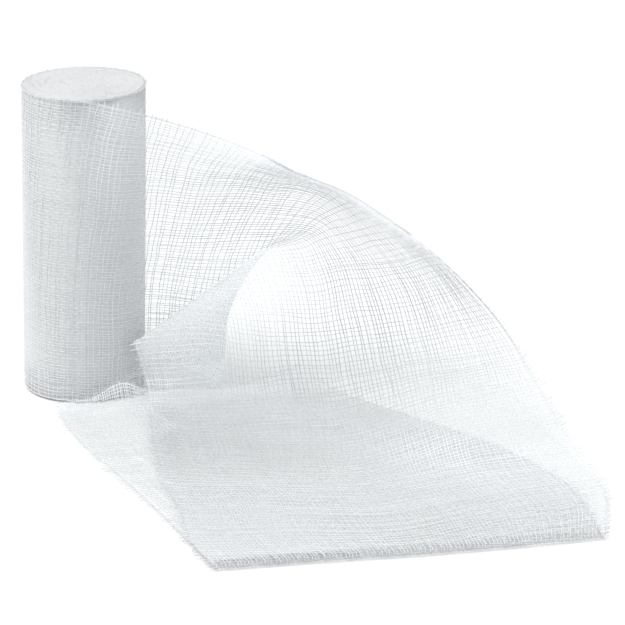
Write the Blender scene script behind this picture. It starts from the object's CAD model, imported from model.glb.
"""Gauze bandage roll: threads, wound turns, frayed edges, light and camera."""
import bpy
import math
import numpy as np
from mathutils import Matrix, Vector


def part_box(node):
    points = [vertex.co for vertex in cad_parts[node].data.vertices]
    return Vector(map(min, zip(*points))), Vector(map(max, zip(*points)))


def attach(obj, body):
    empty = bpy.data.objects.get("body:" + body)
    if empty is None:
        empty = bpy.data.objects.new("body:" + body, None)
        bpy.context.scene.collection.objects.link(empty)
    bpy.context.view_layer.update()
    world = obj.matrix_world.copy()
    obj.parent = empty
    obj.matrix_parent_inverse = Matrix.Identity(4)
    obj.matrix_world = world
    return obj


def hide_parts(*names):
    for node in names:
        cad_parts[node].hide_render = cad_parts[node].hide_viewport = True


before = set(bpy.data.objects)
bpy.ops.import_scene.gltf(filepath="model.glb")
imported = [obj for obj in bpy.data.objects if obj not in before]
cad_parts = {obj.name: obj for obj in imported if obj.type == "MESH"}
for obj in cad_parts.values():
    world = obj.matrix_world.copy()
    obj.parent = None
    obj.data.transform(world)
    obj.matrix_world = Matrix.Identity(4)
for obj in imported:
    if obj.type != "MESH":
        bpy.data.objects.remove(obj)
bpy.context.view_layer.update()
bpy.ops.object.select_all(action="DESELECT")

MM = 0.001
roll_low, roll_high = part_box("roll")
FOOT = np.array([roll_low[0] + 0.019404, roll_high[1] - 0.01907, 0.0])

# ---------------------------------------------------------------- the strip
ROLL_TALL, ROLL_LEAN = 98.6, 2.4
RING = 19.25              # radius of the outermost turn, to the middle of its threads
RING_STEP = 0.42          # one layer of gauze on the roll
FOLD_SOFT = 0.55          # rounding of a crease
APEX_SHARE = 0.55
LOWER_LAYER, UPPER_LAYER = 0.28, 0.85
WARPS, WEFT_GAP = 106, 1.65
WARP_R, WEFT_R = 0.103, 0.108
SHARES = np.array([0.0, 0.28, 0.55, 0.80, 1.0])

# stations along the strip, millimetres from the foot of the roll's axis
#   name        lower                 knee                   apex                  crown                 outer
STATIONS = [
    ("on_roll", (0, -19.25, 0.6), (0.7, -19.25, 28), (1.3, -19.25, 54), (1.9, -19.25, 79), (2.3, -19.3, 97.9)),
    ("off_roll", (9.4, -17.4, 0.7), (9.9, -17.4, 27), (10.6, -17.5, 53), (11.3, -18.2, 77), (12, -19.4, 95.8)),
    ("clear", (22, -10.5, 0.9), (22, -10.8, 26.5), (22, -11, 51.5), (23, -12, 75), (24, -15, 91.6)),
    ("drawn", (33, -6, 0.9), (34, -5, 23), (36, -4, 48.5), (38, -3, 70), (41, -5, 83)),
    ("back_fold", (43.5, -2.8, 1.0), (48, -1.8, 19), (55, 1, 47.5), (54, 6, 65.5), (58, 8, 72)),
    ("back_turn", (43.5, -3.9, 1.0), (48, -2.9, 19), (59, 0.8, 47.5), (59, 7.5, 64), (63, 13, 68)),
    ("tip_fold", (17.3, -18, 20), (41, -8.7, 34.5), (66, 1, 47.5), (68, 10.5, 62), (72, 23, 60)),
    ("tip_turn", (17.3, -19.1, 20), (41, -9.8, 34.8), (70, 0.5, 47), (75, 10, 60.1), (80.2, 24, 56.3)),
    ("shoulder", (21.5, -19, 5), (45, -18, 26), (76, -8, 41), (91.5, -2, 51.4), (98.8, 8, 49.6)),
    ("slope", (22.5, -32, 0.9), (48, -32, 7.6), (80, -24, 28), (104, -17, 42.2), (117.6, -14, 40.2)),
    ("landing", (24, -56, 0.9), (53, -55, 1.4), (84, -46, 11), (112, -37, 28), (131, -32, 29.6)),
    ("flat", (29, -83, 0.9), (58, -80, 0.9), (89, -72, 2.0), (117, -62, 11), (141.5, -52, 16.6)),
    ("ridge", (35, -103, 0.9), (64, -99, 2.2), (93, -94, 2.8), (122, -86, 3.6), (150, -70, 5.2)),
    ("front", (38, -122, 0.9), (69, -118, 1.4), (100, -113, 1.6), (130, -105, 1.8), (156.5, -90, 2.0)),
    ("end_fold", (46, -142, 1.6), (76, -136.6, 2.0), (105, -132, 2.1), (132, -126.5, 2.2), (154, -121.5, 2.2)),
    ("end_turn", (46, -142, 0.3), (76, -136.6, 0.3), (105, -132, 0.3), (132, -126.5, 0.3), (154, -121.5, 0.3)),
    ("under_a", (34, -110, 0.3), (64, -104, 0.3), (92, -100, 0.3), (122, -94, 0.3), (147, -84, 0.3)),
    ("under_b", (21, -78, 0.3), (50, -74, 0.3), (78, -71, 0.3), (106, -65, 0.3), (129, -56, 0.3)),
    ("under_c", (7, -52, 0.3), (33, -48, 0.3), (58, -45, 0.3), (83, -39, 0.3), (104, -32, 0.3)),
    ("under_d", (-3, -32, 0.4), (14, -29, 1.0), (36, -23, 0.3), (58, -16, 0.3), (82, -11, 0.3)),
    ("cut_end", (-6.5, -21.2, 0.8), (12, -18.6, 1.9), (29, -8.5, 0.4), (48, -5.5, 0.3), (67.5, 12, 0.3)),
]
NAMES = [row[0] for row in STATIONS]
GRID = np.array([row[1:] for row in STATIONS], dtype=float)
BULGES = (("tip_fold", 0.43, 0.10, (0.0, 0.0, 3.0)), ("tip_turn", 0.43, 0.10, (0.0, 0.0, 3.0)),
          ("back_fold", 0.35, 0.17, (-2.6, 0.0, 0.0)), ("back_turn", 0.35, 0.17, (-3.6, 0.0, 0.0)),
          ("under_d", 0.26, 0.12, (0.0, 0.0, 3.2)), ("cut_end", 0.29, 0.10, (0.5, -1.8, 5.4)),
          ("under_c", 0.0, 0.35, (-4.2, 0.0, 0.0)), ("under_b", 0.0, 0.35, (-5.0, 0.0, 0.0)),
          ("under_a", 0.0, 0.35, (-2.2, 0.0, 0.0)), ("under_d", 0.0, 0.12, (-2.0, 0.0, 0.5)))
CREASES = (("back_fold", "back_turn", False), ("tip_fold", "tip_turn", False), ("end_fold", "end_turn", True))


def hermite(x, a, b, slope_a, slope_b):
    return ((2 * x**3 - 3 * x**2 + 1) * a + (x**3 - 2 * x**2 + x) * slope_a
            + (3 * x**2 - 2 * x**3) * b + (x**3 - x**2) * slope_b)


def stations_at(share):
    """The stations' points at one share of the width."""
    slopes = np.zeros_like(GRID)
    steps = np.diff(SHARES)
    rises = np.diff(GRID, axis=1) / steps[None, :, None]
    slopes[:, 0], slopes[:, -1] = rises[:, 0], rises[:, -1]
    for k in range(1, len(SHARES) - 1):
        before, after = steps[k - 1], steps[k]
        slopes[:, k] = (rises[:, k - 1] * after + rises[:, k] * before) / (before + after)
    k = int(np.clip(np.searchsorted(SHARES, share, side="right") - 1, 0, len(SHARES) - 2))
    x = (share - SHARES[k]) / steps[k]
    return hermite(x, GRID[:, k], GRID[:, k + 1], slopes[:, k] * steps[k], slopes[:, k + 1] * steps[k])


def strip_line(share, step=0.2):
    """One line along the loose end: its points, evenly spaced, and its length."""
    points = stations_at(share)
    for name, centre, reach, shift in BULGES:
        points[NAMES.index(name)] += np.array(shift) * math.exp(-((share - centre) / reach) ** 2)
    sharp = np.zeros(len(NAMES))
    for first, second, whole in CREASES:
        sharp[NAMES.index(first)] = sharp[NAMES.index(second)] = (
            1.0 if whole else np.clip((APEX_SHARE - share) / 0.12, 0, 1))
    gaps = np.linalg.norm(np.diff(points, axis=0), axis=1)
    heading = np.diff(points, axis=0) / gaps[:, None]
    arrive, leave = np.zeros_like(points), np.zeros_like(points)
    arrive[0] = leave[0] = (1.0, 0.0, 0.0)
    arrive[-1] = leave[-1] = heading[-1]
    for i in range(1, len(points) - 1):
        smooth = (heading[i - 1] * gaps[i] + heading[i] * gaps[i - 1]) / (gaps[i] + gaps[i - 1])
        arrive[i] = smooth + (heading[i - 1] - smooth) * sharp[i]
        leave[i] = smooth + (heading[i] - smooth) * sharp[i]
    run, number = [], []
    for i, gap in enumerate(gaps):
        x = np.linspace(0, 1, max(3, int(gap / step)), endpoint=False)[:, None]
        run.append(hermite(x, points[i], points[i + 1], leave[i] * gap, arrive[i + 1] * gap))
        number.append(i + x[:, 0])
    run = np.concatenate(run + [points[-1:]])
    number = np.concatenate(number + [[len(gaps)]])
    length = np.concatenate([[0], np.cumsum(np.linalg.norm(np.diff(run, axis=0), axis=1))])
    even = np.linspace(0, length[-1], int(length[-1] / step) + 1)
    line = np.stack([np.interp(even, length, run[:, c]) for c in range(3)], axis=1)
    number = np.interp(even, length, number)
    reach = int(3 * FOLD_SOFT / step)
    bell = np.exp(-0.5 * (np.arange(-reach, reach + 1) * step / FOLD_SOFT) ** 2)
    bell /= bell.sum()
    padded = np.concatenate([2 * line[:1] - line[reach:0:-1], line,
                             2 * line[-1:] - line[-2:-reach - 2:-1]])
    line = np.stack([np.convolve(padded[:, c], bell, mode="valid") for c in range(3)], axis=1)
    on_top = (number > NAMES.index("shoulder")) & (number < NAMES.index("end_fold") - 0.1)
    line[:, 2] = np.maximum(line[:, 2], np.where(on_top, UPPER_LAYER, LOWER_LAYER))
    return np.concatenate([line, number[:, None]], axis=1), even[-1]


LINES, SAMPLES = 81, 1900
_lines = [strip_line(share) for share in np.linspace(0, 1, LINES)]
LENGTHS = np.array([length for _, length in _lines])
CLOTH = np.empty((LINES, SAMPLES, 4))       # x, y, z and the station number
for _i, (_line, _length) in enumerate(_lines):
    _at = np.linspace(0, len(_line) - 1, SAMPLES)
    for _c in range(4):
        CLOTH[_i, :, _c] = np.interp(_at, np.arange(len(_line)), _line[:, _c])
WEFTS = int(LENGTHS.mean() / WEFT_GAP)
WRAP_WEFTS = int(2 * math.pi * RING / WEFT_GAP) + 3
RING_HEIGHTS = GRID[0, :, 2]


def on_ring(share, run):
    """The turn before the loose end: run is the length back from where the end begins."""
    turned = run / RING
    angle = -math.pi / 2 + turned
    radius = RING + RING_STEP * turned / (2 * math.pi)
    height = np.interp(share, SHARES, RING_HEIGHTS)
    radius = radius + 0.10 * np.sin(2 * angle + 0.6) + 0.06 * np.sin(5 * angle + height * 0.03)
    lean = ROLL_LEAN * height / ROLL_TALL
    return np.stack([radius * np.cos(angle) + lean, radius * np.sin(angle), height + 0 * angle], axis=-1)


def on_cloth(share, run):
    """Places on the loose end, with the station number as a fourth value."""
    share = np.clip(share, -0.03, 1.03)
    row = np.clip(share, 0, 1) * (LINES - 1)
    r0 = np.minimum(row.astype(int), LINES - 2)
    rx = (share * (LINES - 1) - r0)[..., None]
    col = np.clip(run, 0, 1) * (SAMPLES - 1)
    c0 = np.minimum(col.astype(int), SAMPLES - 2)
    cx = (col - c0)[..., None]
    near = CLOTH[r0, c0] * (1 - cx) + CLOTH[r0, c0 + 1] * cx
    far = CLOTH[r0 + 1, c0] * (1 - cx) + CLOTH[r0 + 1, c0 + 1] * cx
    return near * (1 - rx) + far * rx


def cloth_point(share, run):
    """Point of the strip: share of the width, run in shares of the loose end's length."""
    back = on_ring(share, np.minimum(run, 0) * 385.0)
    return np.where((run < 0)[..., None], back, on_cloth(share, run)[..., :3])


# along the strip: how fluffy and pale the cotton is, and how much lint hangs between its threads;
# the turned-back part below the apex adds its own
PALE = {"on_roll": 1.0, "off_roll": 1.0, "clear": 0.5, "drawn": 0.3, "back_fold": 0.25, "slope": 0.0,
        "landing": 0.2, "flat": 0.85, "ridge": 0.95, "front": 1.05, "front+.80": 1.1, "end_fold": 0.7,
        "end_turn": 0.2, "under_a": 1.0, "under_d": 1.0, "cut_end": 1.6}
PALE_WARPS = {"off_roll": 0.0, "clear": 0.3, "drawn": 0.3, "back_fold": 0.15, "shoulder": 0.0, "front+.80": 0.0, "front+.86": 0.5, "end_fold": 0.8, "end_turn": 0.0}
PALE_WEFTS = {"drawn": 0.0, "back_turn": 0.1, "shoulder": 0.4, "slope": 0.4, "landing": 0.3, "ridge": 0.0, "front+.80": 0.0, "front+.86": -0.3,
              "end_fold": -0.5, "end_turn": 0.0}
PALE_FLAP = {"clear": 0.0, "drawn": 0.3, "back_fold": 0.9, "back_turn": 1.0, "tip_fold": 1.25, "tip_turn": 1.15, "shoulder": 1.0,
             "slope": 0.0}
PALE_LOW = {"clear": 1.0, "back_fold": 1.6, "shoulder": 1.5, "slope": 0.55, "landing": 0.4, "flat": 0.6,
            "ridge": 0.95, "front": 1.1, "front+.80": 1.15, "end_fold": 0.7,
            "end_turn": 0.2, "under_a": 1.0, "under_d": 1.0, "cut_end": 1.6}
HAZE = {"on_roll": 0.20, "off_roll": 0.20, "clear": 0.13, "drawn": 0.13, "slope": 0.13, "flat": 0.13,
        "front": 0.16, "front+.80": 0.18, "front+.88": 0.05, "end_turn": 0.04, "under_a": 0.12,
        "under_d": 0.12, "under_d+.25": 0.0, "under_d+.8": 0.0, "cut_end": 0.2}
HAZE_FLAP = {"clear": 0.0, "drawn": 0.03, "back_turn": 0.24, "tip_fold": 0.52,
             "tip_turn+.3": 0.40, "tip_turn+.7": 0.05, "shoulder": 0.0}
PALE_OUTER = {"on_roll": 0.1, "off_roll": 0.4, "off_roll+.6": 0.25, "clear": 0.0, "slope": 0.0, "slope+.7": 0.0, "landing": 0.2, "flat": 0.2, "ridge": 0.1, "front": 0.0}
PALE_INNER = {"flat": 0.0, "ridge": -0.05, "front": -0.12, "front+.75": -0.12, "end_fold": 0.0}
HAZE_INNER = {"landing": 0.0, "flat": 0.05, "ridge": 0.22, "front": 0.34, "front+.80": 0.34, "front+.88": 0.0}
HAZE_OUTER = {"on_roll": -0.08, "off_roll": -0.13, "clear": 0.0, "slope": 0.0, "slope+.6": 0.0, "landing": 0.10, "flat": 0.14, "ridge": 0.06, "front": 0.0}


def along_strip(table, number):
    """A table's value at a place; a key may name a station and a share of the way to the next."""
    places = [key.partition("+") for key in table]
    places = [NAMES.index(name) + float(part or 0) for name, _, part in places]
    return np.interp(number, places, list(table.values()))


def below_apex(share):
    return np.clip((APEX_SHARE - share) / 0.12, 0, 1)


def above_crown(share):
    return np.clip((share - 0.60) / 0.2, 0, 1)


def below_knee(share):
    return np.clip((0.60 - share) / 0.35, 0, 1)


def paleness(share, run, extra):
    found = on_cloth(share, run)
    low = np.clip((12.5 - found[..., 2]) / 5.0, 0, 1)
    low = low * along_strip(PALE_LOW, found[..., 3])
    pale = along_strip(PALE, found[..., 3]) + below_apex(share) * along_strip(PALE_FLAP, found[..., 3])
    lifted = np.clip(1 - np.abs(found[..., 2] - 6.0) / 4.0, 0, 1) * (np.abs(found[..., 3] - 11.2) < 1.6)
    pale = np.maximum(pale, low) + 0.45 * lifted + along_strip(extra, found[..., 3])
    outer = np.clip((share - 0.80) / 0.16, 0, 1) * np.clip(2.2 - np.abs(found[..., 3] - 5.8) / 1.6, 0, 1)
    pale = pale + 1.15 * outer + above_crown(share) * along_strip(PALE_OUTER, found[..., 3])
    pale = pale + below_knee(share) * along_strip(PALE_INNER, found[..., 3])
    foot = 1.0 + 0.3 * np.exp(-np.interp(share, SHARES, RING_HEIGHTS) / 8.0)
    return np.where(run < 0, foot, np.clip(pale, 0, 1.7))


# how far a weft runs ahead of its place at the apex, at the five shares, in shares of the length
LEAD_AT = (-0.12, 0.0, 0.07, 0.11, 0.165, 0.19, 0.231, 0.28, 0.33, 0.37, 0.45, 0.57)
LEADS = np.array([
    (0, 0, 0, 0, 0), (-6, -5, 0, 7, 14), (-8, -6, 0, 8, 14), (-14, -11, 0, 20, 30), (-20, -15, 0, 22, 36),
    (-32, -25, 0, 42, 62), (-56, -45, 0, 66, 86), (-72, -58, 0, 64, 88), (-66, -52, 0, 62, 90),
    (-50, -40, 0, 48, 76), (-24, -20, 0, 26, 45), (0, 0, 0, 0, 0)]) / 1000.0
LEAD_RISE = np.gradient(LEADS, SHARES, axis=1)


def weft_run(weft, share):
    """Where a weft thread crosses a line of the cloth, which has been pulled askew."""
    run, share = np.broadcast_arrays(np.asarray(weft, dtype=float) / WEFTS, share)
    k = np.clip(np.searchsorted(SHARES, share, side="right") - 1, 0, len(SHARES) - 2)
    wide = SHARES[k + 1] - SHARES[k]
    x = np.clip((share - SHARES[k]) / wide, 0, 1)
    lead = np.stack([np.interp(run, LEAD_AT, LEADS[:, c]) for c in range(5)], axis=-1)
    rise = np.stack([np.interp(run, LEAD_AT, LEAD_RISE[:, c]) for c in range(5)], axis=-1)

    def pick(values, at):
        return np.take_along_axis(values, at[..., None], axis=-1)[..., 0]
    return run + hermite(x, pick(lead, k), pick(lead, k + 1), pick(rise, k) * wide, pick(rise, k + 1) * wide)


def smooth_noise(rng, threads, knots, at, spread):
    """Random values per thread, smooth along it, and tied to its neighbours by spread threads."""
    grid = rng.normal(size=(threads, knots))
    if spread > 0:
        reach = int(3 * spread)
        bell = np.exp(-0.5 * (np.arange(-reach, reach + 1) / spread) ** 2)
        bell /= np.sqrt((bell ** 2).sum())
        grid = np.pad(grid, ((reach, reach), (0, 0)), mode="reflect")
        grid = np.stack([np.convolve(grid[:, k], bell, mode="valid") for k in range(knots)], axis=1)
    x = np.clip(at, 0, 1) * (knots - 1)
    k = np.minimum(x.astype(int), knots - 2)
    f = x - k
    f = f * f * (3 - 2 * f)
    rows = np.arange(threads)[:, None]
    return grid[rows, k] * (1 - f) + grid[rows, k + 1] * f


def normals_of(share, run):
    ds, dr = 0.004, 0.0009
    along = cloth_point(share, run + dr) - cloth_point(share, run - dr)
    across = cloth_point(share + ds, run) - cloth_point(share - ds, run)
    normal = np.cross(along, across)
    return normal / np.maximum(np.linalg.norm(normal, axis=-1, keepdims=True), 1e-9)


# ------------------------------------------------------------- mesh making
def place(name, points, faces, material, smooth=True):
    mesh = bpy.data.meshes.new(name)
    mesh.from_pydata((np.asarray(points) * MM + FOOT).tolist(), [], faces)
    mesh.update()
    mesh.polygons.foreach_set("use_smooth", [smooth] * len(mesh.polygons))
    mesh.materials.append(material)
    thing = bpy.data.objects.new(name, mesh)
    bpy.context.scene.collection.objects.link(thing)
    return thing


def yarns(name, centres, facing, radius, strand, material, sides=3, pale=None):
    """Tubes along rows of centres (threads x points x 3), each closed at both ends."""
    threads, count = centres.shape[:2]
    along = np.gradient(centres, axis=1)
    along /= np.maximum(np.linalg.norm(along, axis=2, keepdims=True), 1e-9)
    side = np.cross(along, facing)
    side /= np.maximum(np.linalg.norm(side, axis=2, keepdims=True), 1e-9)
    up = np.cross(side, along)
    turn = np.arange(sides) * 2 * math.pi / sides + math.pi / 2
    ring = (np.cos(turn)[None, None, :, None] * side[:, :, None, :]
            + np.sin(turn)[None, None, :, None] * up[:, :, None, :])
    points = centres[:, :, None, :] + ring * radius[:, :, None, None]
    index = np.arange(threads * count * sides).reshape(threads, count, sides)
    a, b = index[:, :-1], index[:, 1:]
    quads = np.stack([a, np.roll(a, -1, axis=2), np.roll(b, -1, axis=2), b], axis=-1).reshape(-1, 4)
    faces = quads.tolist()
    faces += index[:, 0, ::-1].tolist() + index[:, -1].tolist()
    thing = place(name, points.reshape(-1, 3), faces, material)
    mesh = thing.data
    length = np.concatenate([np.zeros((threads, 1)),
                             np.cumsum(np.linalg.norm(np.diff(centres, axis=1), axis=2), axis=1)], axis=1)
    mark = mesh.attributes.new("strand", "FLOAT", "POINT")
    mark.data.foreach_set("value", np.repeat(strand, count * sides).astype(np.float32))
    if pale is not None:
        mark = mesh.attributes.new("pale", "FLOAT", "POINT")
        mark.data.foreach_set("value", np.repeat(pale.reshape(-1), sides).astype(np.float32))
    vertex = np.empty(len(mesh.loops), dtype=np.int32)
    mesh.loops.foreach_get("vertex_index", vertex)
    row = vertex // sides
    uv = np.stack([length.reshape(-1)[row], (vertex % sides) / sides], axis=1).astype(np.float32)
    layer = mesh.uv_layers.new(name="along_thread")
    layer.data.foreach_set("uv", uv.reshape(-1))
    return thing


# ------------------------------------------------------------- materials
def group(name, inputs, outputs):
    tree = bpy.data.node_groups.new(name, "ShaderNodeTree")
    for label, kind, value in inputs:
        socket = tree.interface.new_socket(label, in_out="INPUT", socket_type=kind)
        socket.default_value = value
    for label, kind in outputs:
        tree.interface.new_socket(label, in_out="OUTPUT", socket_type=kind)
    return tree, tree.nodes.new("NodeGroupInput"), tree.nodes.new("NodeGroupOutput")


def node(tree, kind, **values):
    made = tree.nodes.new(kind)
    for key, value in values.items():
        if hasattr(made, key):
            setattr(made, key, value)
        else:
            made.inputs[key].default_value = value
    return made


def cotton_tone():
    """Bleached cotton: a light and a shaded tone mixed by lint, long stains and the thread itself."""
    tree, given, out = group("Cotton tone", [
        ("Light", "NodeSocketColor", (0.9, 0.9, 0.9, 1)), ("Shaded", "NodeSocketColor", (0.7, 0.7, 0.7, 1)),
        ("Pale", "NodeSocketColor", (0.915, 0.935, 0.955, 1)),
        ("Thread share", "NodeSocketFloat", 0.5), ("Lint size", "NodeSocketFloat", 900.0),
        ("Cloud size", "NodeSocketFloat", 35.0)],
        [("Color", "NodeSocketColor"), ("Lint", "NodeSocketFloat"), ("Glow", "NodeSocketColor")])
    link = tree.links.new
    where = node(tree, "ShaderNodeTexCoord")
    strand = node(tree, "ShaderNodeAttribute", attribute_name="strand")
    lint = node(tree, "ShaderNodeTexNoise", Detail=3.0, Roughness=0.65)
    cloud = node(tree, "ShaderNodeTexNoise", Detail=2.0, Roughness=0.5)
    link(where.outputs["Object"], lint.inputs["Vector"])
    link(where.outputs["Object"], cloud.inputs["Vector"])
    link(given.outputs["Lint size"], lint.inputs["Scale"])
    link(given.outputs["Cloud size"], cloud.inputs["Scale"])
    both = node(tree, "ShaderNodeMath", operation="MULTIPLY")
    link(strand.outputs["Fac"], both.inputs[0])
    link(given.outputs["Thread share"], both.inputs[1])
    add = node(tree, "ShaderNodeMath", operation="MULTIPLY_ADD")
    add.inputs[1].default_value = 0.45
    link(lint.outputs["Fac"], add.inputs[0])
    link(both.outputs[0], add.inputs[2])
    more = node(tree, "ShaderNodeMath", operation="MULTIPLY_ADD", use_clamp=True)
    more.inputs[1].default_value = 0.35
    link(cloud.outputs["Fac"], more.inputs[0])
    link(add.outputs[0], more.inputs[2])
    mix = node(tree, "ShaderNodeMix", data_type="RGBA")
    link(more.outputs[0], mix.inputs[0])
    link(given.outputs["Light"], mix.inputs[6])
    link(given.outputs["Shaded"], mix.inputs[7])
    pale = node(tree, "ShaderNodeAttribute", attribute_name="pale")
    fluffy = node(tree, "ShaderNodeMix", data_type="RGBA")
    link(pale.outputs["Fac"], fluffy.inputs[0])
    link(mix.outputs[2], fluffy.inputs[6])
    link(given.outputs["Pale"], fluffy.inputs[7])
    link(fluffy.outputs[2], out.inputs["Color"])
    over = node(tree, "ShaderNodeMath", operation="SUBTRACT")
    over.inputs[1].default_value = 1.0
    link(pale.outputs["Fac"], over.inputs[0])
    glow = node(tree, "ShaderNodeMath", operation="MULTIPLY", use_clamp=True)
    glow.inputs[1].default_value = 0.36
    link(over.outputs[0], glow.inputs[0])
    scattered = node(tree, "ShaderNodeMix", data_type="RGBA")
    scattered.inputs[6].default_value = (0, 0, 0, 1)
    scattered.inputs[7].default_value = (0.91, 0.95, 1.0, 1)
    link(glow.outputs[0], scattered.inputs[0])
    link(scattered.outputs[2], out.inputs["Glow"])
    link(lint.outputs["Fac"], out.inputs["Lint"])
    return tree


def yarn_twist():
    """Fine slanting ridges of a twisted yarn, and the lint that stands off it."""
    tree, given, out = group("Yarn twist", [
        ("Pitch", "NodeSocketFloat", 3.0), ("Strength", "NodeSocketFloat", 0.4), ("Lint", "NodeSocketFloat", 0.5)],
        [("Height", "NodeSocketFloat")])
    link = tree.links.new
    uv = node(tree, "ShaderNodeUVMap", uv_map="along_thread")
    parts = node(tree, "ShaderNodeSeparateXYZ")
    link(uv.outputs["UV"], parts.inputs[0])
    slant = node(tree, "ShaderNodeMath", operation="MULTIPLY_ADD")
    link(parts.outputs["X"], slant.inputs[0])
    link(given.outputs["Pitch"], slant.inputs[1])
    link(parts.outputs["Y"], slant.inputs[2])
    turns = node(tree, "ShaderNodeMath", operation="MULTIPLY")
    turns.inputs[1].default_value = 2 * math.pi
    link(slant.outputs[0], turns.inputs[0])
    wave = node(tree, "ShaderNodeMath", operation="SINE")
    link(turns.outputs[0], wave.inputs[0])
    scaled = node(tree, "ShaderNodeMath", operation="MULTIPLY_ADD")
    link(wave.outputs[0], scaled.inputs[0])
    link(given.outputs["Strength"], scaled.inputs[1])
    link(given.outputs["Lint"], scaled.inputs[2])
    link(scaled.outputs[0], out.inputs["Height"])
    return tree


COTTON, TWIST = cotton_tone(), yarn_twist()


def use_group(tree, which, **values):
    made = tree.nodes.new("ShaderNodeGroup")
    made.node_tree = which
    for key, value in values.items():
        made.inputs[key.replace("_", " ")].default_value = value
    return made


def yarn_material(name, light, shaded, share, rough, bump):
    material = bpy.data.materials.new(name)
    material.use_nodes = True
    tree = material.node_tree
    surface = tree.nodes["Principled BSDF"]
    tone = use_group(tree, COTTON, Light=(*light, 1), Shaded=(*shaded, 1), Thread_share=share,
                     Lint_size=1400.0, Cloud_size=40.0)
    twist = use_group(tree, TWIST, Pitch=2.6, Strength=0.35)
    height = node(tree, "ShaderNodeBump", Strength=bump, Distance=0.00004)
    tree.links.new(tone.outputs["Color"], surface.inputs["Base Color"])
    tree.links.new(tone.outputs["Lint"], twist.inputs["Lint"])
    tree.links.new(twist.outputs["Height"], height.inputs["Height"])
    tree.links.new(height.outputs["Normal"], surface.inputs["Normal"])
    tree.links.new(tone.outputs["Glow"], surface.inputs["Emission Color"])
    surface.inputs["Emission Strength"].default_value = 1.0
    surface.inputs["Roughness"].default_value = rough
    surface.inputs["Sheen Weight"].default_value = 0.15
    surface.inputs["Sheen Roughness"].default_value = 0.6
    surface.inputs["Specular IOR Level"].default_value = 0.25
    return material


warp_cotton = yarn_material("loose_warp_cotton", (0.68, 0.69, 0.70), (0.44, 0.46, 0.48), 0.35, 0.85, 0.5)
weft_cotton = yarn_material("loose_weft_cotton", (0.73, 0.74, 0.75), (0.49, 0.51, 0.52), 0.45, 0.85, 0.5)
wound_warp = yarn_material("wound_warp_cotton", (0.91, 0.91, 0.91), (0.81, 0.82, 0.83), 0.35, 0.9, 0.4)
wound_weft = yarn_material("wound_weft_cotton", (0.89, 0.89, 0.89), (0.79, 0.80, 0.81), 0.35, 0.9, 0.4)
turn_cotton = yarn_material("turn_cotton", (0.80, 0.80, 0.82), (0.66, 0.67, 0.70), 0.35, 0.9, 0.6)
lint_cotton = yarn_material("lint_cotton", (0.92, 0.93, 0.93), (0.80, 0.82, 0.82), 0.3, 0.9, 0.2)

# ------------------------------------------------------- the woven threads
rng = np.random.default_rng(41)
warp_share = np.linspace(0, 1, WARPS)
edge = np.minimum(warp_share, 1 - warp_share)
warp_share = warp_share + np.where(warp_share < 0.5, -1, 1) * 0.004 * np.exp(-(edge / 0.02) ** 2)
warp_share[1:-1] += rng.normal(0, 0.0014, WARPS - 2)
warp_share = np.clip(np.sort(warp_share), 0, 1)
warp_tone = rng.random(WARPS)
all_wefts = np.arange(-WRAP_WEFTS, WEFTS + 1)
weft_tone = rng.random(len(all_wefts))
WEFT_SHIFT = rng.normal(0, 0.14, len(all_wefts))
CROSS = 0.09              # how far a thread rises over the one it crosses


def weft_sway(numbers, share):
    """How far each weft wanders along the strip, in weft gaps."""
    local = np.random.default_rng(7)
    far = smooth_noise(local, len(all_wefts), 7, np.zeros((len(all_wefts), 1)) + share, 6.0)
    near = smooth_noise(local, len(all_wefts), 13, np.zeros((len(all_wefts), 1)) + share, 1.2)
    own = smooth_noise(local, len(all_wefts), 24, np.zeros((len(all_wefts), 1)) + share, 0)
    sway = 0.17 * far + 0.11 * near + 0.075 * own + WEFT_SHIFT[:, None]
    return sway[numbers + WRAP_WEFTS]


# soft creases that gather the wefts: place along the strip, reach in wefts, pull, from and to share
PLEATS = ((0.231, 3.4, 0.42, 0.36, 1.0), (0.527, 2.6, 0.55, 0.22, 0.97))


def gathered(place, share):
    for centre, reach, pull, first, last in PLEATS:
        off = place - centre * WEFTS
        fade = np.clip((share - first) / 0.06, 0, 1) * np.clip((last - share) / 0.06, 0, 1)
        place = place - fade * pull * off * np.exp(-(off / reach) ** 2)
    return place


def lay_wefts(name, numbers, cotton, lift=0.0, shift=0.0):
    share = np.concatenate([[-0.011], warp_share, [1.011]])
    ends = rng.normal(0, 0.006, (len(numbers), 2))
    share = np.broadcast_to(share, (len(numbers), len(share))).copy()
    share[:, 0] += np.minimum(ends[:, 0], 0.008)
    share[:, -1] += np.maximum(ends[:, 1], -0.008)
    sway = weft_sway(numbers, share[0][None, :])
    place_along = numbers[:, None] + shift + sway
    run = weft_run(gathered(place_along, share), share)
    fading = (run < 1.0)
    centres = cloth_point(share, np.minimum(run, 1.0))
    facing = normals_of(share, np.minimum(run, 1.0))
    parity = np.arange(share.shape[1])[None, :] + numbers[:, None]
    centres = centres - facing * CROSS * np.where(parity % 2 == 0, 1, -1)[..., None] + facing * lift
    girth = WEFT_R * (0.85 + 0.4 * weft_tone[numbers + WRAP_WEFTS])[:, None]
    on_roll = np.clip(-run / 0.03, 0, 1)
    centres = centres - facing * (0.19 * on_roll)[..., None]
    centres[..., 2] = np.maximum(centres[..., 2], 0.14)
    slubs = smooth_noise(rng, len(numbers), 30, share, 0)
    girth = girth * np.clip(1 + 0.13 * slubs, 0.7, 1.7) * np.where(fading, 1, 1)
    return yarns(name, centres, facing, girth, weft_tone[numbers + WRAP_WEFTS], cotton,
                 pale=paleness(share, np.minimum(run, 1.0), PALE_WEFTS))


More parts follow.
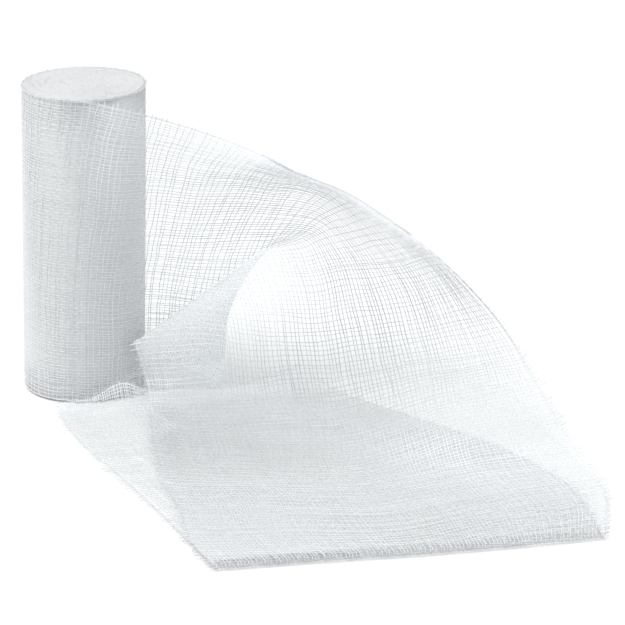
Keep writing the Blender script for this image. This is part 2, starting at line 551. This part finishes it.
def warp_places(first, last):
    """Weft numbers at which a warp has its points: every crossing, and closer round the creases."""
    places = set(np.arange(first, last + 1).astype(float))
    tip = range(max(first, 22), min(last, 56))
    places |= {i + 0.5 for i in tip}
    fold = int(round(WEFTS * 0.622))
    for i in range(max(first, fold - 6), min(last, fold + 8)):
        places |= {i + 0.25, i + 0.5, i + 0.75}
    return np.array(sorted(places))


def lay_warps(name, first, last, cotton, lift=0.0, tones=None):
    places = warp_places(first, last)
    tones = warp_tone if tones is None else tones
    at = np.broadcast_to((places - first) / (last - first), (WARPS, len(places)))
    local = np.random.default_rng(11 + abs(int(first)))
    wander = 0.0011 * smooth_noise(local, WARPS, max(6, (last - first) // 6), at, 0)
    wander = wander + 0.0020 * smooth_noise(local, WARPS, max(4, (last - first) // 14), at, 4.0)
    pinned = np.clip(np.minimum(places - first, last - places) / 3.0, 0, 1)
    share = np.clip(warp_share[:, None] + wander * pinned[None, :], 0, 1)
    run = weft_run(gathered(places[None, :] + 0 * share, share), share)
    if last >= WEFTS:
        run = np.minimum(run, 1.0)
    centres = cloth_point(share, run)
    facing = normals_of(share, run)
    wave = np.cos(math.pi * (places[None, :] + np.arange(WARPS)[:, None] + 1))
    centres = centres + facing * (CROSS * wave)[..., None] + facing * lift
    steep = np.exp(-((on_cloth(share, np.minimum(run, 1.0))[..., 3] - 9.4) / 1.1) ** 2)
    steep = steep * np.clip((share - 0.35) / 0.3, 0, 1) * (run > 0)
    girth = WARP_R * (1 + 0.34 * steep) * (0.85 + 0.35 * tones)[:, None] * np.clip(
        1 + 0.12 * smooth_noise(local, WARPS, 40, at, 0), 0.7, 1.6)
    return yarns(name, centres, facing, girth, tones, cotton, pale=paleness(share, run, PALE_WARPS))


FRONT = int(round(WEFTS * 0.632))
upper_warps = lay_warps("loose_end_warps", 0, FRONT, warp_cotton)
lower_warps = lay_warps("folded_under_warps", FRONT, WEFTS, warp_cotton)
loose_wefts = lay_wefts("loose_end_wefts", np.arange(1, WEFTS), weft_cotton)
ring_warps = lay_warps("outer_turn_warps", -WRAP_WEFTS, 0, wound_warp)
ring_wefts = lay_wefts("outer_turn_wefts", np.arange(-WRAP_WEFTS + 1, 1), wound_weft)

# ------------------------------------------------- lint film between threads
FILM_ROWS, FILM_COLS = 330, 30
film_run = np.linspace(0, 1, FILM_ROWS)
film_share = np.linspace(0.002, 0.998, FILM_COLS)
share_grid, run_grid = np.meshgrid(film_share, film_run)
film_points = cloth_point(share_grid, run_grid)
film_faces = [(i * FILM_COLS + j, (i + 1) * FILM_COLS + j, (i + 1) * FILM_COLS + j + 1, i * FILM_COLS + j + 1)
              for i in range(FILM_ROWS - 1) for j in range(FILM_COLS - 1)]
film_material = bpy.data.materials.new("lint_film")
film_material.use_nodes = True
_tree = film_material.node_tree
_surface = _tree.nodes["Principled BSDF"]
_tone = use_group(_tree, COTTON, Light=(0.93, 0.94, 0.94, 1), Shaded=(0.84, 0.86, 0.87, 1), Thread_share=0.0,
                  Lint_size=700.0, Cloud_size=30.0)
_tree.links.new(_tone.outputs["Color"], _surface.inputs["Base Color"])
_surface.inputs["Roughness"].default_value = 0.95
_haze = node(_tree, "ShaderNodeAttribute", attribute_name="haze")
_tree.links.new(_haze.outputs["Fac"], _surface.inputs["Alpha"])
_surface.inputs["Specular IOR Level"].default_value = 0.1
film = place("loose_end_lint", film_points.reshape(-1, 3), film_faces, film_material)
_found = on_cloth(share_grid, run_grid)
_number = _found[..., 3]
_amount = along_strip(HAZE, _number) + below_apex(share_grid) * along_strip(HAZE_FLAP, _number)
_lifted = np.clip(1 - np.abs(_found[..., 2] - 6.0) / 4.0, 0, 1) * (np.abs(_number - 11.2) < 1.6)
_amount = _amount * (1 - 0.8 * _lifted) + above_crown(share_grid) * along_strip(HAZE_OUTER, _number)
_amount += below_knee(share_grid) * along_strip(HAZE_INNER, _number)
_apex_run = run_grid - np.interp(share_grid, SHARES, [np.interp(0.231, LEAD_AT, LEADS[:, c]) for c in range(5)])
_amount += (0.28 * np.exp(-((_apex_run - 0.231) / 0.0055) ** 2) * np.clip((share_grid - 0.40) / 0.1, 0, 1)
            * np.clip((0.95 - share_grid) / 0.15, 0, 1))
film.data.attributes.new("haze", "FLOAT", "POINT").data.foreach_set(
    "value", _amount.reshape(-1).astype(np.float32))
_soft = 3.4 * below_knee(share_grid) * along_strip(HAZE_INNER, _number)
film.data.attributes.new("pale", "FLOAT", "POINT").data.foreach_set("value", _soft.reshape(-1).astype(np.float32))

# ------------------------------------------------------------ the wound roll
bpy.ops.object.select_all(action="DESELECT")
BODY_R = 18.95
bpy.ops.mesh.primitive_cylinder_add(vertices=96, radius=BODY_R * MM, depth=(ROLL_TALL - 0.6) * MM,
                                    end_fill_type="NGON", location=(0, 0, (ROLL_TALL - 0.6) / 2 * MM))
body = bpy.context.object
body.name = "wound_body"
bpy.ops.object.transform_apply(location=True, rotation=True, scale=True)
bpy.ops.object.mode_set(mode="EDIT")
bpy.ops.mesh.select_mode(type="FACE")
bpy.ops.mesh.select_all(action="DESELECT")
bpy.ops.object.mode_set(mode="OBJECT")
for face in body.data.polygons:
    face.select = abs(face.normal.z) > 0.9
bpy.ops.object.mode_set(mode="EDIT")
for inset in (0.9, 2.6, 4.0, 4.0, 3.2, 2.0):
    bpy.ops.mesh.inset(thickness=inset * MM, use_individual=True)
bpy.ops.object.mode_set(mode="OBJECT")
for face in body.data.polygons:
    face.select = abs(face.normal.z) < 0.5
bpy.ops.object.mode_set(mode="EDIT")
for height in (12, 24, 36, 48, 60, 72, 84):
    bpy.ops.mesh.select_all(action="SELECT")
    bpy.ops.mesh.bisect(plane_co=(0, 0, height * MM), plane_no=(0, 0, 1))
bpy.ops.object.mode_set(mode="OBJECT")
body_rng = np.random.default_rng(3)
phases = body_rng.random(8) * 2 * math.pi
for vertex in body.data.vertices:
    x, y, z = (value / MM for value in vertex.co)
    reach, angle = math.hypot(x, y), math.atan2(y, x)
    swell = 0.12 * math.sin(2 * angle + 0.6) + 0.08 * math.sin(5 * angle + z * 0.05 + phases[0])
    rim = math.exp(-(ROLL_TALL - z) / 0.9) + 0.35 * math.exp(-z / 0.5)
    if reach > 1:
        wide = reach + (swell - 0.55 * rim) * (reach / BODY_R) ** 2
        x, y = x * wide / reach, y * wide / reach
    if z > ROLL_TALL / 2 and reach < BODY_R - 0.1:
        z += 0.2 * math.sin(3 * angle + phases[1]) * reach / BODY_R
    if z < ROLL_TALL / 2 and reach < BODY_R - 0.1:
        z += 0.25
    vertex.co = (x * MM + ROLL_LEAN * MM * z / ROLL_TALL + FOOT[0], y * MM + FOOT[1], z * MM)
body.data.polygons.foreach_set("use_smooth", [True] * len(body.data.polygons))

body_material = bpy.data.materials.new("wound_gauze")
body_material.use_nodes = True
_tree = body_material.node_tree
_surface = _tree.nodes["Principled BSDF"]
_tone = use_group(_tree, COTTON, Light=(0.77, 0.77, 0.77, 1), Shaded=(0.66, 0.67, 0.68, 1), Thread_share=0.0,
                  Lint_size=1100.0, Cloud_size=28.0)
_tree.links.new(_tone.outputs["Color"], _surface.inputs["Base Color"])
_bump = node(_tree, "ShaderNodeBump", Strength=0.6, Distance=0.0002)
_tree.links.new(_tone.outputs["Lint"], _bump.inputs["Height"])
_tree.links.new(_bump.outputs["Normal"], _surface.inputs["Normal"])
_surface.inputs["Roughness"].default_value = 0.95
_surface.inputs["Sheen Weight"].default_value = 0.2
body.data.materials.append(body_material)


def end_turns(name, height, up):
    """The wound edges of the strip on one end face: a fluffy spiral cord."""
    turns, per_turn = 42, 64
    count = turns * per_turn
    angle = np.arange(count) * 2 * math.pi / per_turn
    radius = 0.9 + (BODY_R - 0.9 - 0.15) * np.arange(count) / count
    local = np.random.default_rng(19 if up > 0 else 23)
    rise = 0.04 * np.convolve(local.normal(size=count + 8), np.ones(9) / 3, mode="valid")
    drift = 0.03 * np.convolve(local.normal(size=count + 14), np.ones(15) / 4, mode="valid")
    dome = 0.2 * np.sin(3 * angle + phases[1]) * radius / BODY_R if up > 0 else 0 * angle
    fall = -0.6 * np.clip((radius - BODY_R + 1.6) / 1.6, 0, 1) ** 2
    z = height + up * (rise + dome + fall)
    lean = ROLL_LEAN * z / ROLL_TALL
    centres = np.stack([(radius + drift) * np.cos(angle) + lean, (radius + drift) * np.sin(angle), z], axis=1)
    facing = np.zeros_like(centres)
    facing[:, 2] = up
    girth = 0.20 + 0.04 * np.convolve(local.normal(size=count + 4), np.ones(5) / 2.2, mode="valid")
    return yarns(name, centres[None], facing[None], girth[None], np.array([0.4]), turn_cotton, sides=4)


top_turns = end_turns("top_wound_edges", ROLL_TALL - 0.74, 1)
foot_turns = end_turns("foot_wound_edges", 0.32, -1)


# ------------------------------------------------- the outer edge turned under
def turned_edge():
    """The outer selvage rolls under past the apex, widest half way down."""
    first, last = 0.150, 0.300
    local = np.random.default_rng(37)

    def behind(run, depth):
        one = np.ones_like(run)
        top, inner = cloth_point(one, run), cloth_point(one * 0.96, run)
        inward = (inner - top) / np.linalg.norm(inner - top, axis=-1, keepdims=True)
        back = normals_of(one * 0.98, run)
        back = back * np.sign(back @ np.array([0.0, 1.0, 0.2]))[..., None]
        wide = 3.2 * np.interp(run, (first, 0.19, 0.215, 0.24, 0.27, last), (0.1, 0.35, 0.85, 1.0, 0.7, 0.0))
        away = 0.30 + 0.25 * np.sin(math.pi * np.clip(depth, 0, 1))
        return top + inward * (depth * wide)[..., None] + back * away[..., None]

    run = np.broadcast_to(np.linspace(first, last, 150), (8, 150))
    depth = np.broadcast_to((np.arange(8) / 7)[:, None], run.shape) + 0.03 * smooth_noise(local, 8, 30, run, 1.0)
    centres = behind(run, depth)
    facing = np.broadcast_to(np.array([0.0, -1.0, 0.3]), centres.shape)
    warps = yarns("turned_edge_warps", centres, facing, np.full(run.shape, WARP_R * 0.8), local.random(8),
                  wound_warp, pale=np.full(run.shape, 0.9))
    run, depth = np.meshgrid(np.linspace(first, last, 90), np.linspace(0, 1, 5), indexing="ij")
    faces = [(i * 5 + j, i * 5 + 5 + j, i * 5 + 6 + j, i * 5 + 1 + j) for i in range(89) for j in range(4)]
    flap = place("turned_edge_lint", (behind(run, depth)).reshape(-1, 3), faces, film_material)
    flap.data.attributes.new("haze", "FLOAT", "POINT").data.foreach_set("value", np.full(450, 0.50, np.float32))
    flap.data.attributes.new("pale", "FLOAT", "POINT").data.foreach_set("value", np.full(450, 0.0, np.float32))
    numbers = np.arange(int(0.09 * WEFTS), int(0.30 * WEFTS), 1.0)
    run = weft_run(numbers, np.ones(len(numbers)))
    run = run[(run > first + 0.002) & (run < last - 0.003)]
    run = np.broadcast_to(run[:, None], (len(run), 7))
    depth = np.broadcast_to(np.linspace(0, 1.04, 7), run.shape)
    centres = behind(run + 0.0012 * np.sin(depth * 5.0), depth)
    facing = np.broadcast_to(np.array([0.0, -1.0, 0.3]), centres.shape)
    wefts = yarns("turned_edge_wefts", centres, facing, np.full(run.shape, WEFT_R * 0.8),
                  local.random(len(run)), wound_weft, pale=np.full(run.shape, 0.9))
    return [warps, wefts, flap]


turned = turned_edge()


# ------------------------------------------------------ frayed edges and lint
def whiskers(name, roots, heading, length, girth, seed, curl=0.5, floor=0.06):
    """Short curved fibre ends standing off an edge."""
    local = np.random.default_rng(seed)
    count, steps = len(roots), 6
    heading = heading / np.maximum(np.linalg.norm(heading, axis=1, keepdims=True), 1e-9)
    bend = local.normal(size=(count, 3)) * curl
    t = np.linspace(0, 1, steps)[None, :, None]
    centres = roots[:, None] + (heading[:, None] * t + bend[:, None] * t ** 2 * 0.5) * length[:, None, None]
    centres[..., 2] = np.maximum(centres[..., 2], floor)
    facing = np.cross(heading, local.normal(size=(count, 3)))
    facing = np.broadcast_to(facing[:, None], centres.shape)
    radius = girth[:, None] * np.linspace(1, 0.45, steps)[None, :]
    return yarns(name, centres, facing, radius, local.random(count), lint_cotton)


def selvage_fray():
    local = np.random.default_rng(53)
    numbers = np.concatenate([all_wefts[all_wefts > 2], all_wefts[all_wefts > 2]]).astype(float)
    numbers = numbers + local.uniform(-0.4, 0.4, len(numbers))
    roots, heads, sizes = [], [], []
    for side, keep in ((0.0, 0.85), (1.0, 0.8)):
        pick = numbers[local.random(len(numbers)) < keep]
        share = np.full(len(pick), side)
        run = np.minimum(weft_run(pick, share), 0.999)
        edge_at = cloth_point(share, run)
        inward = cloth_point(np.full(len(pick), 0.02 if side == 0 else 0.98), run)
        roots.append(edge_at)
        heads.append(edge_at - inward + local.normal(0, 0.55, edge_at.shape))
        long = 0.5 + 0.9 * local.random(len(pick)) ** 3 * 2.0
        ragged = (run > 0.64) & (side == 0)
        sizes.append(np.where(ragged, long * 2.2, long))
    roots, heads, sizes = np.concatenate(roots), np.concatenate(heads), np.concatenate(sizes)
    return whiskers("selvage_fray", roots, heads, sizes, 0.035 + 0.035 * local.random(len(roots)), 59)


def cut_end_fray():
    local = np.random.default_rng(61)
    share = np.repeat(warp_share, 2)
    run = np.full(len(share), 0.999)
    at = cloth_point(share, run)
    back = cloth_point(share, run - 0.01)
    heads = at - back + local.normal(0, 0.8, at.shape) * np.array([1, 1, 0.5])
    heads[:, 2] += 0.6
    sizes = 0.8 + 2.6 * local.random(len(share)) ** 2
    return whiskers("cut_end_fray", at, heads, sizes, 0.045 + 0.05 * local.random(len(share)), 67, curl=0.9)


def rim_lint():
    local = np.random.default_rng(71)
    count = 2600
    radius = BODY_R * np.sqrt(local.random(count))
    radius[:500] = BODY_R + 0.2 * local.normal(size=500)
    angle = local.random(count) * 2 * math.pi
    roots = np.stack([radius * np.cos(angle) + ROLL_LEAN, radius * np.sin(angle),
                      ROLL_TALL - 0.75 + 0 * angle], axis=1)
    heads = np.stack([0.8 * np.cos(angle) + local.normal(0, 0.9, count),
                      0.8 * np.sin(angle) + local.normal(0, 0.9, count), 0.25 + 0.5 * local.random(count)], axis=1)
    sizes = 0.4 + 0.9 * local.random(count)
    return whiskers("rim_lint", roots, heads, sizes, 0.02 + 0.03 * local.random(count), 73, curl=0.9)


def surface_lint():
    """Loose fibres that stand off the cloth here and there."""
    local = np.random.default_rng(79)
    count = 700
    share, run = local.random(count), local.uniform(0, 1, count)
    at = cloth_point(share, run)
    out = normals_of(share, run)
    heads = out * 0.35 + local.normal(0, 0.8, at.shape)
    sizes = 0.5 + 1.5 * local.random(count) ** 2
    return whiskers("surface_lint", at, heads, sizes, 0.014 + 0.014 * local.random(count), 83, curl=1.2)


fray = [selvage_fray(), cut_end_fray()]
lint = [rim_lint(), surface_lint()]

# ------------------------------------------------------------------- riding
loose = [film, upper_warps, lower_warps, loose_wefts] + turned
wound = [body, top_turns, foot_turns, ring_warps, ring_wefts]
for piece in loose + wound + fray + lint:
    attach(piece, "root")
for piece in loose:
    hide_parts("loose_end")
for piece in wound:
    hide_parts("roll")

# -------------------------------------------------------------------- stage
bpy.ops.object.select_all(action="DESELECT")
bpy.ops.mesh.primitive_plane_add(size=6.0, location=(0, 0.6, -0.0004))
floor = bpy.context.object
floor.name = "studio_floor"
bpy.ops.object.transform_apply(location=True, rotation=True, scale=True)
floor_material = bpy.data.materials.new("studio_floor")
floor_material.use_nodes = True
_surface = floor_material.node_tree.nodes["Principled BSDF"]
_surface.inputs["Base Color"].default_value = (0.95, 0.95, 0.95, 1)
_surface.inputs["Roughness"].default_value = 1.0
_surface.inputs["Specular IOR Level"].default_value = 0.0
floor.data.materials.append(floor_material)

world = bpy.data.worlds.new("studio")
bpy.context.scene.world = world
world.use_nodes = True
world.node_tree.nodes["Background"].inputs["Color"].default_value = (0.96, 0.985, 1.0, 1)
world.node_tree.nodes["Background"].inputs["Strength"].default_value = 0.72


def soft_light(name, at, aim, size, power, tint=(1, 1, 1)):
    light = bpy.data.lights.new(name, "AREA")
    light.shape = "DISK"
    light.size = size
    light.energy = power
    light.color = tint
    lamp = bpy.data.objects.new(name, light)
    lamp.location = at
    lamp.rotation_euler = (Vector(aim) - Vector(at)).to_track_quat("-Z", "Y").to_euler()
    bpy.context.scene.collection.objects.link(lamp)
    return lamp


soft_light("key_left", (-2.2, -0.9, 4.4), (0, 0.1, 0), 3.0, 131.0, (1.0, 0.985, 0.965))
soft_light("fill_right", (2.6, -2.6, 1.2), (0, 0, 0.05), 2.4, 14.0, (0.93, 0.975, 1.0))

camera_data = bpy.data.cameras.new("camera")
camera_data.sensor_width = 36.0
camera_data.lens = 169.0
camera_data.clip_start = 0.05
camera = bpy.data.objects.new("camera", camera_data)
camera.location = Vector(FOOT.tolist()) + Vector((0.0726, -0.870, 0.343))
camera.rotation_euler = (math.radians(90 - 20.2), 0, 0)
bpy.context.scene.collection.objects.link(camera)
bpy.context.scene.camera = camera
bpy.context.scene.view_settings.view_transform = "Standard"
